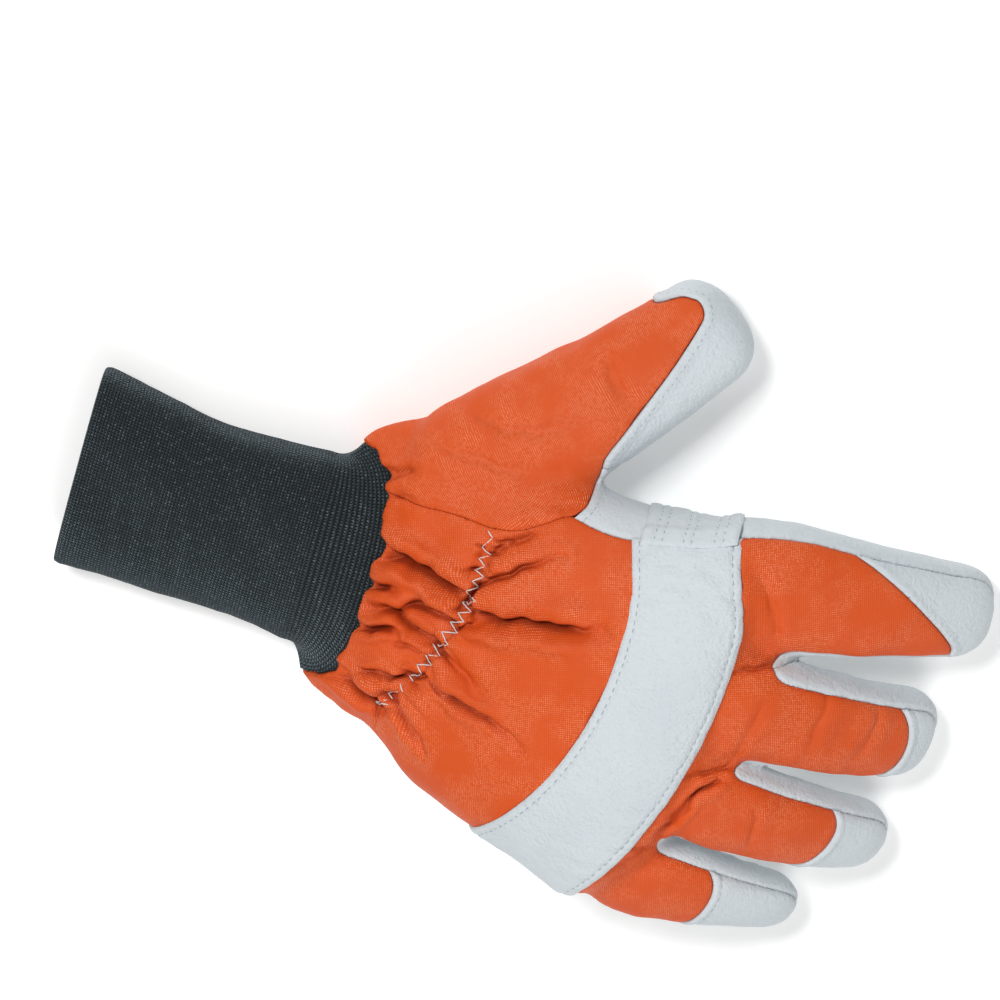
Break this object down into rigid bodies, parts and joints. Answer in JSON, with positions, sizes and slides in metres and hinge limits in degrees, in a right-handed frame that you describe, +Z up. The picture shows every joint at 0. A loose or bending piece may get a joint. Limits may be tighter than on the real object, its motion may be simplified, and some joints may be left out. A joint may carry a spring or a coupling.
{
  "type": "chainsaw glove",
  "caption": "Right-hand work glove with a cloth back, leather palm, fingertips and knuckle strap, and a long knitted cuff, lying palm down with its fingers spread.",
  "frame": {"origin": "on the ground under the middle of the glove", "axes": "+X from the cuff to the fingertips, +Y towards the thumb, +Z up, out of the back of the hand"},
  "size_m": [0.3066, 0.2098, 0.0616],
  "materials": {
    "knit": "dark charcoal ribbed knit, matt",
    "cloth": "bright orange fine woven cloth, slight sheen",
    "leather": "cool white grain leather, soft satin"
  },
  "bodies": {
    "root": {"knit_cuff": "knit", "hand_back": "cloth", "finger_back": "cloth", "knuckle_strap": "leather", "index_cap": "leather", "middle_cap": "leather", "ring_cap": "leather", "little_cap": "leather", "palm_panel": "leather", "middle_ring_front": "leather", "thumb_back": "cloth", "thumb_front": "leather", "grip_patch": "leather"}
  },
  "joints": []
}
